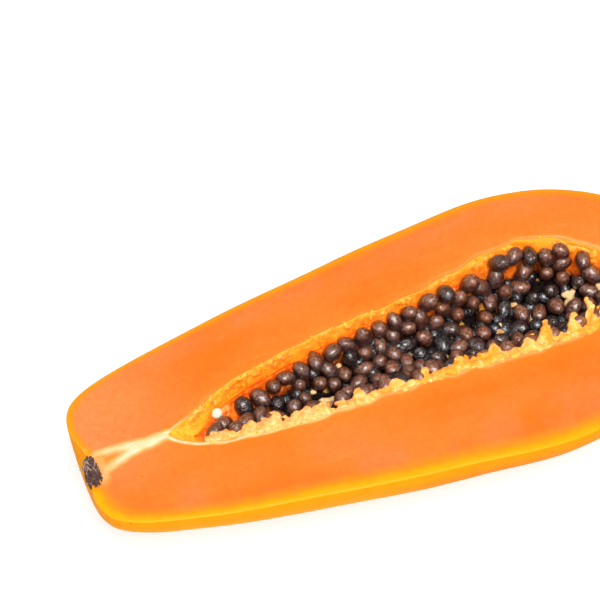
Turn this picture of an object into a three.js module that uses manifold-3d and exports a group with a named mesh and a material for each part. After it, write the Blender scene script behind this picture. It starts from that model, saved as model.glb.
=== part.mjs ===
// Half of a ripe papaya, cut lengthwise and lying on its back, with the seeds still in it.
// Millimetres, +Z up. +X runs from the stem end to the blossom end, +Y to the far side.
// Every shape is worked out on the fruit's own axis first: s is the distance from the stem end,
// y the distance across the cut, and z the height above the cut, so z is negative in the fruit.
import * as THREE from "three";
import { ParametricGeometry } from "three/addons/geometries/ParametricGeometry.js";
import { mergeVertices } from "three/addons/utils/BufferGeometryUtils.js";
import Module from "manifold-3d";

const wasm = await Module();
wasm.setup();

// Driving dimensions of the fruit
const LENGTH = 235;
const CUT_HEIGHT = 50.4; // from the resting spot up to the cut face
const ORIGIN_S = 116.9; // where the model's origin lies on the fruit's axis
const ORIGIN_Y = -1.1;
const LOBES = 5;
const LOBE_SWELL = 0.021; // how far a lobe stands out, as a share of the radius
const DENT = 0.009; // gentle unevenness of the skin, as a share of the radius
const DENT_WAVE = { along: 0.083, start: 1.7, around: 3, twist: 0.031 };
const SKIN_GRID = [48, 45]; // faces round the skin and along it

// Outline of the skin: [distance from the stem end, half width, depth under the cut]
const SKIN = [
  [4.2, 0, 0],
  [1.4, 7, 7],
  [0.1, 14, 14],
  [1.6, 20.6, 20.6],
  [6, 25.4, 25.6],
  [15, 29.4, 30.2],
  [31, 33.6, 35.6],
  [54, 38.2, 41.8],
  [86, 43.4, 48],
  [126, 48.9, 51.1],
  [162, 52.5, 50.9],
  [188, 49.6, 46.8],
  [206, 42.6, 40],
  [220, 32, 30.6],
  [230.5, 17.5, 17],
  [LENGTH, 0, 0],
];

// The seed cavity: [distance from the stem end, far edge, near edge, depth under the cut]
const CAVITY = [
  [31, 0, 0, 0],
  [36, 2.2, -4.6, 3.6],
  [44, 5.2, -8, 7.6],
  [56, 11.2, -10.4, 12.6],
  [79, 16, -12.4, 18],
  [103, 19.4, -13, 21.6],
  [126, 21, -13.4, 23.8],
  [148, 24.6, -15, 25.6],
  [164, 28, -16, 26.6],
  [178, 28.6, -16, 26],
  [190, 24.6, -14.6, 22.8],
  [201, 15.6, -10.6, 15.6],
  [208.5, 6.6, -5, 7.4],
  [212, 0, 0, 0],
];
const EDGE_WAVE = { reach: 1.5, along: 0.47, swing: 1.9, pace: 0.13 }; // the torn near edge wanders
const WALL_RIPPLE = { share: 0.035, along: 0.39, swing: 2.2, start: 0.6 };
const CAVITY_GRID = [32, 52];
const CLEARANCE = 0.4; // between one piece and the next

// The seeds lie in one layer along the cavity wall, round an open trough
const SEED_COUNT = 142;
const SEED_RADIUS = 3.15; // of the place that a seed takes
const SEED_RADIUS_SPREAD = 0.32;
const SEED_STRETCH = [1.08, 1.32]; // length over width
const SEED_START = 47;
const SEED_END = 203;
const SEED_WALL_GAP = 4.1; // from the wall to the middle of a seed
const SEED_FLOOR_SHARE = 0.68; // of the cavity's depth, down to the bed's open surface
const SEED_SINK = 0.6; // from that surface up to the middle of a seed
const SEED_NEAR_GAP = 3.4; // from the cut down to the highest seeds at the near edge
const SEED_FAR_GAP = [ // the same at the far edge: [distance from the stem end, depth]
  [47, 8],
  [100, 6.2],
  [140, 3],
  [165, 2],
  [203, 1.6],
];
const SEED_LIFT = [-0.5, 1]; // how unevenly they stand out of the layer
const SIDE_LIFT = 0.4; // share of that lift at the sides
const LEAST_RADIUS = 0.5; // of the layer, where the cavity is narrow
const SEED_DENSITY = [ // share of the drawn seeds that are kept: [distance, share]
  [47, 0.42],
  [100, 0.55],
  [140, 0.9],
  [203, 1],
];
const SEED_DRAW = 20417; // start of the random numbers
const SEED_SLIM = 0.96; // the seed's own radius, over that of its place
const PACKING = 1; // closest spacing, as a share of two radii
const PUSH = 0.35; // share of a lack of room made good in one step
const SETTLE_STEPS = 60;

// The bed of placenta that holds the seeds
const BED_WALL = 2.8; // thickness at the sides
const BED_TOP = 6.2; // how far under the cut it ends
const BED_GAP = 1.5; // between the cavity wall and the bed
const BED_ROUNDNESS = 1.15; // keeps the trough deep where the cavity is narrow
const BED_GRID = [20, 52];
const TROUGH_GRID = [16, 26];

// Crumbs of torn placenta along the edges of the cavity: near ones at the cut, far ones lower
const NEAR_CRUMBS = { count: 36, column: 2, inward: 1, radius: [1.2, 2.5], depth: [0.5, 1.7] };
const FAR_CRUMBS = { count: 26, column: 1, inward: -1, radius: [1.1, 1.9], depth: [0.8, 5] };
const CRUMB_FORM = [1.35, 1, 0.9]; // length, width and height over the radius
const CRUMB_REACH = [0.05, 0.5]; // from the edge to the middle of a crumb, over its radius
const CRUMB_START = 50;
const CRUMB_END = 203;
const CRUMB_JITTER = 0.6; // of the spacing
const CRUMB_DRAW = 733;

// The dry stem scar and the one seed that stayed white
const SCAR = { s: 3.6, y: -3.1, z: -2.2, radii: [4.6, 7.4, 5.2], turn: [0.5, 0, -0.25], sink: 0.5 };
const PALE_SEED = { s: 50.5, y: 4.6, z: -5.4, radii: [2.1, 1.9, 1.9], turn: [0.3, 0.4, 0.5] };

const BEYOND = 300; // further out than every solid
const MERGE = 1e-4;

// Random numbers that are the same each time
function seededRandom(start) {
  let state = start;
  return () => {
    state = (state * 1664525 + 1013904223) % 4294967296;
    return state / 4294967296;
  };
}

const drawn = (random, [low, high]) => low + (high - low) * random();
const drawnTurn = (random) => [0, 1, 2].map(() => 2 * Math.PI * random());
const clamped = (value, low, high) => Math.max(low, Math.min(high, value));

// A column of a table at the share t of its length, on a smooth curve through every row
function smooth(table, t, column) {
  const last = table.length - 1;
  const place = t * last;
  const i = Math.min(Math.floor(place), last - 1);
  const u = place - i;
  const [a, b, c, d] = [i - 1, i, i + 1, i + 2].map((k) => table[clamped(k, 0, last)][column]);
  const bend = 2 * a - 5 * b + 4 * c - d;
  const twist = 3 * b - a - 3 * c + d;
  return 0.5 * (2 * b + (c - a) * u + bend * u ** 2 + twist * u ** 3);
}

// A column of a table at the distance s from the stem end, on straight lines between the rows
function between(table, s, column) {
  let i = 0;
  while (i < table.length - 2 && table[i + 1][0] < s) i++;
  const share = clamped((s - table[i][0]) / (table[i + 1][0] - table[i][0]), 0, 1);
  return table[i][column] + share * (table[i + 1][column] - table[i][column]);
}

// A point of the skin: phi is 0 at the far edge, a right angle underneath and pi at the near edge
function skinPoint(t, phi, target) {
  const s = smooth(SKIN, t, 0);
  const fade = Math.sin(Math.PI * clamped(s / LENGTH, 0, 1));
  const lobe = LOBE_SWELL * Math.cos(LOBES * phi);
  const { along, start, around, twist } = DENT_WAVE;
  const dent = DENT * Math.sin(s * along + start) * Math.sin(around * phi + twist * s);
  const swell = 1 - fade * (lobe - dent);
  const halfWidth = smooth(SKIN, t, 1) * swell;
  const depth = smooth(SKIN, t, 2) * swell;
  return target.set(s, halfWidth * Math.cos(phi), -depth * Math.sin(phi));
}

// A point of the cavity wall, or of a surface that lies inset by so much from it
function cavityPoint(t, phi, inset, target) {
  const end = smooth(CAVITY, t, 0);
  const middle = (CAVITY[0][0] + LENGTH) / 2;
  const s = end + (end < middle ? 1 : -1) * Math.min(inset, Math.abs(end - middle));
  const open = Math.sin(Math.PI * t);
  const wander = Math.sin(s * EDGE_WAVE.along + EDGE_WAVE.swing * Math.sin(s * EDGE_WAVE.pace));
  const far = smooth(CAVITY, t, 1);
  const near = smooth(CAVITY, t, 2) + EDGE_WAVE.reach * open * wander;
  const depth = smooth(CAVITY, t, 3);
  const { share, along, swing, start } = WALL_RIPPLE;
  const ripple = Math.sin(s * along + swing * Math.cos(phi)) * Math.sin(LOBES * phi + start);
  const radius = Math.max(0.01, Math.min((far - near) / 2, depth));
  const size = Math.max(0, 1 + share * open * ripple - inset / radius);
  const across = ((far - near) / 2) * size;
  return target.set(s, (far + near) / 2 + across * Math.cos(phi), -depth * size * Math.sin(phi));
}

// The open trough over the seeds' bed
function troughPoint(t, phi, target) {
  const s = smooth(CAVITY, t, 0);
  const far = smooth(CAVITY, t, 1);
  const near = smooth(CAVITY, t, 2);
  const size = Math.max(0, 1 - (2 * BED_WALL) / Math.max(0.01, far - near));
  const across = ((far - near) / 2) * size;
  const depth = smooth(CAVITY, t, 3) * SEED_FLOOR_SHARE * Math.min(1, BED_ROUNDNESS * size);
  return target.set(s, (far + near) / 2 + across * Math.cos(phi), -depth * Math.sin(phi));
}

// The closed solid of a surface that runs round the axis from one end to the other
function roundSolid(point, [around, along]) {
  const surface = (u, v, target) => {
    const turn = (Math.round(u * around) % around) / around;
    point(v, 2 * Math.PI * turn, target);
  };
  return solidOf(new ParametricGeometry(surface, around, along));
}

// A closed geometry as a solid that can be cut and joined
function solidOf(geometry) {
  const bare = geometry.clone();
  bare.deleteAttribute("normal");
  bare.deleteAttribute("uv");
  const merged = mergeVertices(bare, MERGE);
  const corners = [];
  for (let i = 0; i < merged.index.count; i += 3) {
    const [a, b, c] = [0, 1, 2].map((k) => merged.index.getX(i + k));
    if (a !== b && b !== c && a !== c) corners.push(a, b, c);
  }
  const made = new wasm.Manifold(
    new wasm.Mesh({
      numProp: 3,
      vertProperties: merged.attributes.position.array,
      triVerts: new Uint32Array(corners),
    }),
  );
  return made.volume() > 0 ? made : turnedOut(merged, corners);
}

// The same solid with its faces turned to point out
function turnedOut(merged, corners) {
  const turned = new Uint32Array(corners.length);
  for (let i = 0; i < corners.length; i += 3) {
    turned[i] = corners[i];
    turned[i + 1] = corners[i + 2];
    turned[i + 2] = corners[i + 1];
  }
  return new wasm.Manifold(
    new wasm.Mesh({ numProp: 3, vertProperties: merged.attributes.position.array, triVerts: turned }),
  );
}

// Everything above one height, up to another
function slab(low, high) {
  const geometry = new THREE.BoxGeometry(2 * BEYOND, 2 * BEYOND, high - low);
  geometry.translate(0, 0, (low + high) / 2);
  return solidOf(geometry);
}

// A lump of a unit form, stretched along its own axes, turned and put in place
function lump(form, place, radii, turn) {
  const pose = new THREE.Matrix4().compose(
    new THREE.Vector3(...place),
    new THREE.Quaternion().setFromEuler(new THREE.Euler(...turn)),
    new THREE.Vector3(...radii),
  );
  return solidOf(form.clone().applyMatrix4(pose));
}

const SEED_FORM = new THREE.IcosahedronGeometry(1, 0);
const CRUMB_SOLID = new THREE.OctahedronGeometry(1, 0);
const ROUND_FORM = new THREE.SphereGeometry(1, 12, 9);

// Where the middle of a seed lies on the seed layer
function layerPoint(s, phi, lift) {
  const far = between(CAVITY, s, 1);
  const near = between(CAVITY, s, 2);
  const floor = between(CAVITY, s, 3) * SEED_FLOOR_SHARE - SEED_SINK - lift;
  const depth = Math.max(SEED_NEAR_GAP + LEAST_RADIUS, floor);
  const halfWidth = Math.max(LEAST_RADIUS, (far - near) / 2 - SEED_WALL_GAP - SIDE_LIFT * lift);
  const first = Math.asin(Math.min(1, between(SEED_FAR_GAP, s, 1) / depth));
  const last = Math.PI - Math.asin(Math.min(1, SEED_NEAR_GAP / depth));
  const angle = clamped(phi, first, last);
  const y = (far + near) / 2 + halfWidth * Math.cos(angle);
  return { s, y, z: -depth * Math.sin(angle), halfWidth, depth };
}

// The seeds: drawn at random over the layer, then pushed apart until they lie side by side
function seedLayout() {
  const random = seededRandom(SEED_DRAW);
  const seeds = [];
  while (seeds.length < SEED_COUNT) {
    const s = drawn(random, [SEED_START, SEED_END]);
    const phi = Math.PI * random();
    if (random() > between(SEED_DENSITY, s, 1)) continue;
    const lift = drawn(random, SEED_LIFT);
    const radius = SEED_RADIUS + SEED_RADIUS_SPREAD * drawn(random, [-1, 1]);
    const stretch = drawn(random, SEED_STRETCH);
    const turn = drawnTurn(random);
    seeds.push({ ...layerPoint(s, phi, lift), lift, radius, stretch, turn });
  }
  for (let step = 0; step < SETTLE_STEPS; step++) settle(seeds);
  return seeds;
}

// One step of pushing the seeds apart, each then put back on the layer
function settle(seeds) {
  const pushes = seeds.map(() => [0, 0, 0]);
  for (let i = 0; i < seeds.length; i++) {
    for (let j = i + 1; j < seeds.length; j++) {
      const [a, b] = [seeds[i], seeds[j]];
      const apart = [b.s - a.s, b.y - a.y, b.z - a.z];
      const distance = Math.max(0.001, Math.hypot(...apart));
      const short = PACKING * (a.radius + b.radius) - distance;
      if (short <= 0) continue;
      for (let k = 0; k < 3; k++) {
        const push = (PUSH * short * apart[k]) / distance;
        pushes[i][k] -= push;
        pushes[j][k] += push;
      }
    }
  }
  seeds.forEach((seed, i) => {
    const s = clamped(seed.s + pushes[i][0], SEED_START, SEED_END);
    const middle = (between(CAVITY, s, 1) + between(CAVITY, s, 2)) / 2;
    const across = (seed.y + pushes[i][1] - middle) / seed.halfWidth;
    const down = -(seed.z + pushes[i][2]) / seed.depth;
    Object.assign(seed, layerPoint(s, Math.atan2(Math.max(0, down), across), seed.lift));
  });
}

// All the seeds and the bed that they sit in, clear of the cavity wall
function seedMass() {
  const inside = roundSolid((t, phi, target) => cavityPoint(t, phi, BED_GAP, target), BED_GRID);
  const trough = roundSolid(troughPoint, TROUGH_GRID);
  let mass = inside.subtract(slab(-BED_TOP, BEYOND)).subtract(trough);
  for (const { s, y, z, radius, stretch, turn } of seedLayout()) {
    const slim = SEED_SLIM * radius;
    mass = mass.add(lump(SEED_FORM, [s, y, z], [slim * stretch, slim, slim], turn));
  }
  mass = mass.intersect(inside).subtract(paleSeed(CLEARANCE));
  for (const crumb of crumbs(CLEARANCE)) mass = mass.subtract(crumb);
  return largest(mass);
}

// Crumbs of placenta along one edge of the cavity, each grown by so much
function crumbRow(random, row, extra) {
  const spacing = (CRUMB_END - CRUMB_START) / row.count;
  return Array.from({ length: row.count }, (unused, i) => {
    const s = CRUMB_START + spacing * (i + CRUMB_JITTER * random());
    const radius = drawn(random, row.radius);
    const reach = row.inward * radius * drawn(random, CRUMB_REACH);
    const y = between(CAVITY, s, row.column) + reach;
    const z = -drawn(random, row.depth);
    const radii = CRUMB_FORM.map((share) => share * radius + extra);
    return lump(CRUMB_SOLID, [s, y, z], radii, drawnTurn(random));
  });
}

function crumbs(extra) {
  const random = seededRandom(CRUMB_DRAW);
  return [...crumbRow(random, NEAR_CRUMBS, extra), ...crumbRow(random, FAR_CRUMBS, extra)];
}

// The scar that the stem left, which is cut through with the fruit
function stemScar(extra) {
  const { s, y, z, radii, turn, sink } = SCAR;
  const body = lump(ROUND_FORM, [s, y, z], radii.map((radius) => radius + extra), turn);
  return extra > 0 ? body : body.subtract(slab(-sink, BEYOND));
}

// The one seed that stayed white
function paleSeed(extra) {
  const { s, y, z, radii, turn } = PALE_SEED;
  return lump(ROUND_FORM, [s, y, z], radii.map((radius) => radius + extra), turn);
}

function largest(solid) {
  const bodies = solid.decompose();
  return bodies.reduce((best, next) => (next.volume() > best.volume() ? next : best));
}

// Flesh and skin, which grew as one piece
function fruitHalf() {
  const cavity = roundSolid((t, phi, target) => cavityPoint(t, phi, 0, target), CAVITY_GRID);
  let half = roundSolid(skinPoint, SKIN_GRID)
    .subtract(slab(0, BEYOND))
    .subtract(slab(-BEYOND, -CUT_HEIGHT))
    .subtract(cavity)
    .subtract(stemScar(CLEARANCE));
  for (const crumb of crumbs(0)) half = half.add(crumb);
  return largest(half);
}

// A solid as a mesh in the model's own frame
function named(name, solid, material) {
  const { vertProperties, triVerts, numProp } = solid.getMesh();
  const positions = new Float32Array((vertProperties.length / numProp) * 3);
  for (let i = 0; i < positions.length / 3; i++) {
    positions.set(vertProperties.subarray(i * numProp, i * numProp + 3), i * 3);
  }
  const geometry = new THREE.BufferGeometry();
  geometry.setAttribute("position", new THREE.BufferAttribute(positions, 3));
  geometry.setIndex(new THREE.BufferAttribute(triVerts, 1));
  const mesh = new THREE.Mesh(geometry, material);
  mesh.name = name;
  mesh.position.set(-ORIGIN_S, -ORIGIN_Y, CUT_HEIGHT);
  return mesh;
}

// A matt or glossy material of one colour
function finish(color, roughness) {
  return new THREE.MeshStandardMaterial({ color, roughness, metalness: 0 });
}

const FLESH = finish(0xff8f3c, 0.45);
const SEED_BLACK = finish(0x3b2a24, 0.3);
const SEED_PALE = finish(0xfbe6c4, 0.4);
const SCAR_BROWN = finish(0x4a3228, 0.9);

const papaya = new THREE.Group();
papaya.add(
  named("papaya_half", fruitHalf(), FLESH),
  named("seeds", seedMass(), SEED_BLACK),
  named("pale_seed", paleSeed(0), SEED_PALE),
  named("stem_scar", stemScar(0), SCAR_BROWN),
);

export default papaya;
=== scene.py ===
"""Half of a ripe papaya, cut lengthwise and lying on its back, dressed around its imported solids.

Shapes are worked out in millimetres on the fruit's own axis, as in the solids: s is the distance
from the stem end, y the distance across the cut, and z the height above the cut.
"""
import math

import bmesh
import bpy
import numpy as np
from mathutils import Matrix, Vector


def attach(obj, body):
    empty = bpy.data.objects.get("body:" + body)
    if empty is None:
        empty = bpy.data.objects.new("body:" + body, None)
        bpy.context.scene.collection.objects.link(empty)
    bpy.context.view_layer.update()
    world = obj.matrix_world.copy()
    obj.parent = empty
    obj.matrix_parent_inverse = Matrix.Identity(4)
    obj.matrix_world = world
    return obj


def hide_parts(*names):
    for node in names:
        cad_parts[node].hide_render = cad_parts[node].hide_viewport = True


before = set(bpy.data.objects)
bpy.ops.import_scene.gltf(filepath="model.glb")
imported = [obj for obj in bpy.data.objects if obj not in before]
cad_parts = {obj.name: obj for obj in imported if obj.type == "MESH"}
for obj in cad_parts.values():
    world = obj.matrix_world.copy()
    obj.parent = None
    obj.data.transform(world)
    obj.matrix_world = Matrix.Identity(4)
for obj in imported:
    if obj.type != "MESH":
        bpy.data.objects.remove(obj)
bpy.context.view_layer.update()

MM = 0.001
SAME_PLACE = 0.001 * MM  # points closer than this are made one

# The fruit, as in the solids
LENGTH = 235
CUT_HEIGHT = 50.4
ORIGIN_S = 116.9
ORIGIN_Y = -1.1
LOBES = 5
LOBE_SWELL = 0.021
DENT = 0.009
DENT_WAVE = {"along": 0.083, "start": 1.7, "around": 3, "twist": 0.031}

# Outline of the skin: distance from the stem end, half width, depth under the cut
SKIN = np.array([
    [4.2, 0, 0],
    [1.4, 7, 7],
    [0.1, 14, 14],
    [1.6, 20.6, 20.6],
    [6, 25.4, 25.6],
    [15, 29.4, 30.2],
    [31, 33.6, 35.6],
    [54, 38.2, 41.8],
    [86, 43.4, 48],
    [126, 48.9, 51.1],
    [162, 52.5, 50.9],
    [188, 49.6, 46.8],
    [206, 42.6, 40],
    [220, 32, 30.6],
    [230.5, 17.5, 17],
    [LENGTH, 0, 0],
])

# The seed cavity: distance from the stem end, far edge, near edge, depth under the cut
CAVITY = np.array([
    [31, 0, 0, 0],
    [36, 2.2, -4.6, 3.6],
    [44, 5.2, -8, 7.6],
    [56, 11.2, -10.4, 12.6],
    [79, 16, -12.4, 18],
    [103, 19.4, -13, 21.6],
    [126, 21, -13.4, 23.8],
    [148, 24.6, -15, 25.6],
    [164, 28, -16, 26.6],
    [178, 28.6, -16, 26],
    [190, 24.6, -14.6, 22.8],
    [201, 15.6, -10.6, 15.6],
    [208.5, 6.6, -5, 7.4],
    [212, 0, 0, 0],
])
EDGE_WAVE = {"reach": 1.5, "along": 0.47, "swing": 1.9, "pace": 0.13}
FLESH_WAVE = 0.15  # the rest of the wave is made by the crumbs
WALL_RIPPLE = {"share": 0.035, "along": 0.39, "swing": 2.2, "start": 0.6}

# The seeds and the crumbs, as in the solids
SEED_COUNT = 142
SEED_RADIUS = 3.15
SEED_RADIUS_SPREAD = 0.32
SEED_STRETCH = [1.08, 1.32]
SEED_START = 47
SEED_END = 203
SEED_WALL_GAP = 4.1
SEED_FLOOR_SHARE = 0.68
SEED_SINK = 0.6
SEED_NEAR_GAP = 3.4
SEED_FAR_GAP = np.array([[47, 8], [100, 6.2], [140, 3], [165, 2], [203, 1.6]])
SEED_LIFT = [-0.5, 1]
SIDE_LIFT = 0.4
LEAST_RADIUS = 0.5
SEED_DENSITY = np.array([[47, 0.42], [100, 0.55], [140, 0.9], [203, 1]])
SEED_DRAW = 20417
SEED_SLIM = 0.96
PACKING = 1
PUSH = 0.35
LEAST_DISTANCE = 0.001
SETTLE_STEPS = 60
BED_WALL = 2.8
BED_TOP = 6.2
BED_GAP = 1.5
BED_ROUNDNESS = 1.15
NEAR_CRUMBS = {"count": 36, "column": 2, "inward": 1, "radius": [1.2, 2.5], "depth": [0.5, 1.7]}
FAR_CRUMBS = {"count": 26, "column": 1, "inward": -1, "radius": [1.1, 1.9], "depth": [0.8, 5]}
CRUMB_REACH = [0.05, 0.5]
CRUMB_START = 50
CRUMB_END = 203
CRUMB_JITTER = 0.6
CRUMB_DRAW = 733
SCAR = {"s": 3.6, "y": -3.1, "z": -2.2, "radii": [4.6, 7.4, 5.2], "turn": [0.5, 0, -0.25]}
PALE_SEED = {"s": 50.5, "y": 4.6, "z": -5.4, "radii": [2.1, 1.9, 1.9], "turn": [0.3, 0.4, 0.5]}


# Random numbers and noise

FULL_TURN = 2 * math.pi
NEXT = {"times": 1664525, "plus": 1013904223, "within": 4294967296}


def seeded_random(start):
    """The solids' own random numbers, one after the other."""
    state = start
    while True:
        state = (state * NEXT["times"] + NEXT["plus"]) % NEXT["within"]
        yield state / NEXT["within"]


def drawn(random, limits):
    return limits[0] + (limits[1] - limits[0]) * next(random)


def drawn_turn(random):
    return [FULL_TURN * next(random) for _ in range(3)]


LATTICE = 32
TILT = np.array(Matrix.Rotation(0.7, 3, "X") @ Matrix.Rotation(0.5, 3, "Y"))
LAYER_SHIFT = 17.3


def lattice_noise(points, size, seed):
    """Smooth noise from -1 to 1 with features of about that size, for an array of points."""
    values = np.random.RandomState(seed).uniform(-1, 1, (LATTICE, LATTICE, LATTICE))
    place = np.asarray(points) / size
    cell = np.floor(place).astype(int)
    part = place - cell
    part = part * part * (3 - 2 * part)
    total = 0
    for corner in np.ndindex(2, 2, 2):
        weight = np.prod(np.where(corner, part, 1 - part), axis=-1)
        index = (cell + corner) % LATTICE
        total = total + weight * values[index[..., 0], index[..., 1], index[..., 2]]
    return total


def layered_noise(points, size, seed, layers=3):
    """Noise with finer and weaker layers on top."""
    total = 0
    for k in range(layers):
        shifted = np.asarray(points) @ TILT + LAYER_SHIFT * k
        total = total + lattice_noise(shifted, size / 2 ** k, seed + k) / 2 ** k
    return total


def relief(points, height, size, seed, layers=3):
    """Layered noise of that height."""
    return height * layered_noise(points, size, seed, layers)


def plain_relief(points, height, size, seed):
    """Noise of that height, without finer layers."""
    return height * lattice_noise(points, size, seed)


# The fruit's surfaces

TABLE_STEPS = 400
EDGE_STEPS = 4000
LEAST_WIDTH = 0.01


def smooth(table, t, column):
    """A column of a table at the share t of its length, on a smooth curve through every row."""
    rows = table[:, column]
    last = len(rows) - 1
    place = np.asarray(t, float) * last
    i = np.minimum(np.floor(place).astype(int), last - 1)
    u = place - i
    a, b, c, d = (rows[np.clip(i + k, 0, last)] for k in (-1, 0, 1, 2))
    bend = 2 * a - 5 * b + 4 * c - d
    twist = 3 * b - a - 3 * c + d
    return 0.5 * (2 * b + (c - a) * u + bend * u ** 2 + twist * u ** 3)


def smooth_between(s, column):
    """The cavity's column at the distance s, on its smooth curve."""
    t = np.linspace(0, 1, TABLE_STEPS)
    return np.interp(s, smooth(CAVITY, t, 0), smooth(CAVITY, t, column))


def between(table, s, column):
    """A column of a table at the distance s, on straight lines between the rows."""
    return np.interp(s, table[:, 0], table[:, column])


def skin_points(t, phi):
    """phi is 0 at the far edge, a right angle underneath and pi at the near edge."""
    s = smooth(SKIN, t, 0)
    fade = np.sin(np.pi * np.clip(s / LENGTH, 0, 1))
    lobe = LOBE_SWELL * np.cos(LOBES * phi)
    around = np.sin(DENT_WAVE["around"] * phi + DENT_WAVE["twist"] * s)
    dent = DENT * np.sin(s * DENT_WAVE["along"] + DENT_WAVE["start"]) * around
    swell = 1 - fade * (lobe - dent)
    y = smooth(SKIN, t, 1) * swell * np.cos(phi)
    z = -smooth(SKIN, t, 2) * swell * np.sin(phi)
    return np.stack([s + 0 * y, y, z], -1)


def cavity_points(t, phi, inset=0):
    """The cavity wall, or a surface that lies inset by so much from it."""
    end = smooth(CAVITY, t, 0)
    middle = (CAVITY[0, 0] + LENGTH) / 2
    s = end + np.where(end < middle, 1, -1) * np.minimum(inset, np.abs(end - middle))
    opened = np.sin(np.pi * t)
    wander = np.sin(s * EDGE_WAVE["along"] + EDGE_WAVE["swing"] * np.sin(s * EDGE_WAVE["pace"]))
    far = smooth(CAVITY, t, 1)
    near = smooth(CAVITY, t, 2) + EDGE_WAVE["reach"] * FLESH_WAVE * opened * wander
    depth = smooth(CAVITY, t, 3)
    turning = s * WALL_RIPPLE["along"] + WALL_RIPPLE["swing"] * np.cos(phi)
    ripple = np.sin(turning) * np.sin(LOBES * phi + WALL_RIPPLE["start"])
    radius = np.maximum(LEAST_WIDTH, np.minimum((far - near) / 2, depth))
    size = np.maximum(0, 1 + WALL_RIPPLE["share"] * opened * ripple - inset / radius)
    y = (far + near) / 2 + (far - near) / 2 * size * np.cos(phi)
    z = -depth * size * np.sin(phi)
    return np.stack([s + 0 * y, y, z], -1)


def trough_points(t, phi, share):
    """The open surface of a bed in the hollow, at that share of its depth."""
    s = smooth(CAVITY, t, 0)
    far = smooth(CAVITY, t, 1)
    near = smooth(CAVITY, t, 2)
    size = np.maximum(0, 1 - (2 * BED_WALL) / np.maximum(LEAST_WIDTH, far - near))
    depth = smooth(CAVITY, t, 3) * share * np.minimum(1, BED_ROUNDNESS * size)
    y = (far + near) / 2 + (far - near) / 2 * size * np.cos(phi)
    return np.stack([s + 0 * y, y, -depth * np.sin(phi)], -1)


def even_shares(table, count):
    """Shares of a table's length that step evenly along its far edge."""
    t = np.linspace(0, 1, EDGE_STEPS)
    edge = np.stack([smooth(table, t, 0), smooth(table, t, 1)], -1)
    run = np.concatenate([[0], np.cumsum(np.linalg.norm(np.diff(edge, axis=0), axis=1))])
    return np.interp(np.linspace(0, run[-1], count + 1), run, t)


# Meshes

def in_frame(points):
    """Points of the fruit, in millimetres, as metres in the frame."""
    moved = np.asarray(points, float) - [ORIGIN_S, ORIGIN_Y, 0]
    moved[..., 2] += CUT_HEIGHT
    return moved * MM


def grid_faces(index, closed=False):
    """Faces between the rows and columns of an array of vertex numbers, without doubled corners."""
    if closed:
        index = np.concatenate([index, index[:1]], 0)
    corners = [index[:-1, :-1], index[1:, :-1], index[1:, 1:], index[:-1, 1:]]
    faces = []
    for face in np.stack(corners, -1).reshape(-1, 4).tolist():
        kept = [v for k, v in enumerate(face) if v != face[k - 1]]
        if len(set(kept)) > 2:
            faces.append(kept)
    return faces


def finished_mesh(mesh, layers):
    """Gives a mesh smooth shading, and its points the values that the materials read."""
    for layer, values in layers.items():
        attribute = mesh.attributes.new(layer, "FLOAT", "POINT")
        attribute.data.foreach_set("value", np.asarray(values, np.float32))
    mesh.polygons.foreach_set("use_smooth", [True] * len(mesh.polygons))
    mesh.update()


def mesh_object(name, points, faces, materials, regions=None, layers=None):
    """A closed mesh in the frame, with a material for each face region and a value per point."""
    mesh = bpy.data.meshes.new(name)
    mesh.from_pydata(in_frame(points).tolist(), [], faces)
    for material in materials:
        mesh.materials.append(material)
    if regions is not None:
        mesh.polygons.foreach_set("material_index", regions)
    finished_mesh(mesh, layers or {})
    shape = bmesh.new()
    shape.from_mesh(mesh)
    bmesh.ops.remove_doubles(shape, verts=shape.verts, dist=SAME_PLACE)
    bmesh.ops.recalc_face_normals(shape, faces=shape.faces)
    shape.to_mesh(mesh)
    shape.free()
    piece = bpy.data.objects.new(name, mesh)
    bpy.context.scene.collection.objects.link(piece)
    return piece


def ball(subdivisions):
    """Points and faces of a unit ball of even triangles."""
    shape = bmesh.new()
    bmesh.ops.create_icosphere(shape, subdivisions=subdivisions, radius=1)
    points = np.array([v.co for v in shape.verts])
    faces = [[v.index for v in face.verts] for face in shape.faces]
    shape.free()
    return points, faces


def turned(turn):
    """The rotation that the solids give to a lump, as rows for points on the left."""
    x, y, z = (Matrix.Rotation(angle, 3, axis) for angle, axis in zip(turn, "XYZ"))
    return np.array(x @ y @ z).T


def joined(parts):
    """Several (points, faces) as one."""
    points, faces, start = [], [], 0
    for part_points, part_faces in parts:
        points.append(part_points)
        faces.extend([[v + start for v in face] for face in part_faces])
        start += len(part_points)
    return np.concatenate(points), faces


def lumps(name, parts, material, **layers):
    """Several (points, faces) as one piece, with the values of each for every layer."""
    layers = {layer: np.concatenate(values) for layer, values in layers.items()}
    return mesh_object(name, *joined(parts), [material], layers=layers)


def placed(piece, slot, *nodes):
    """Every piece rides on the root and may stand for solids, which it hides. The slot is not used."""
    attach(piece, "root")
    if nodes:
        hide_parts(*nodes)


# Materials

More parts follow.
